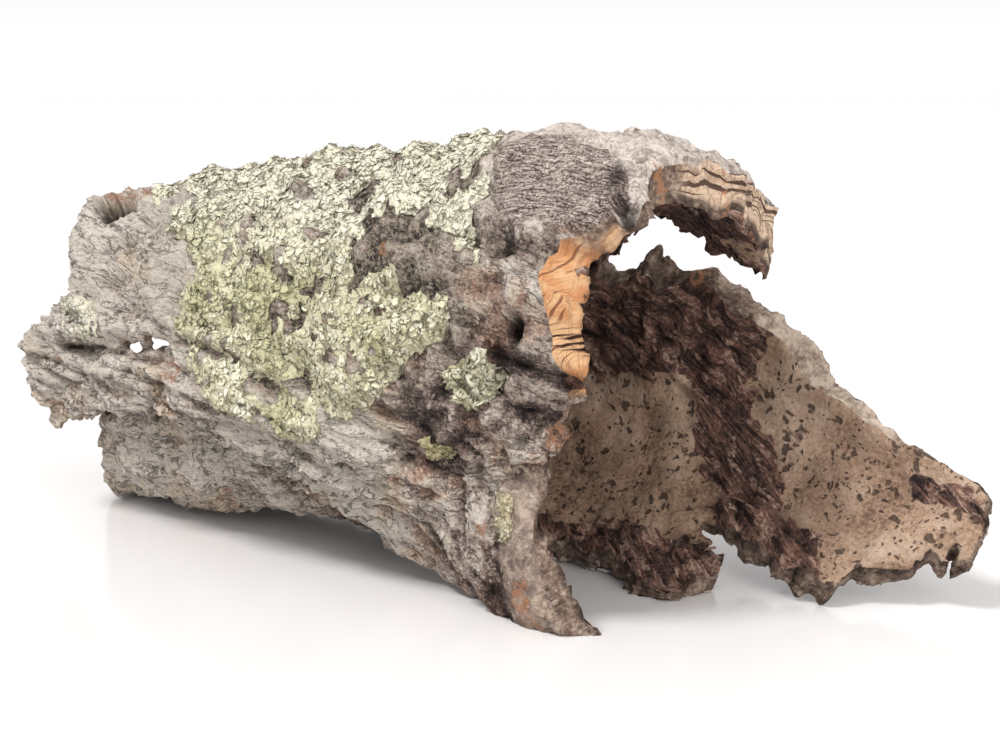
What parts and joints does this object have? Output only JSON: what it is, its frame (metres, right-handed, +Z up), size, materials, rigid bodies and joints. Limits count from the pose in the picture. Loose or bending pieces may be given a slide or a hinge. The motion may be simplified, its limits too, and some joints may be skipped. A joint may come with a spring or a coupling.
{
  "type": "piece of bark",
  "caption": "Curled piece of rough cork bark, a tube open at both ends and slit along its underside, with a flared wing at one end and leafy lichen on its outer face.",
  "frame": {"origin": "middle of the outline on the plan, at the level of the ground it lies on", "axes": "+X along the tube towards its wide mouth and wing, +Y towards the back, +Z up"},
  "size_m": [0.3813, 0.1388, 0.1661],
  "materials": {
    "cork": "matte grey-brown outer bark, tan and dark brown cork inside",
    "lichen_green": "matte yellow-green leafy lichen",
    "lichen_pale": "matte pale crusty lichen",
    "lichen_yellow": "matte yellow powdery lichen"
  },
  "bodies": {
    "root": {"bark": "cork", "lichen_mat": "lichen_green", "lichen_rosette": "lichen_green", "lichen_patch_left": "lichen_pale", "lichen_patch_front": "lichen_yellow", "lichen_patch_foot": "lichen_yellow"}
  },
  "joints": []
}
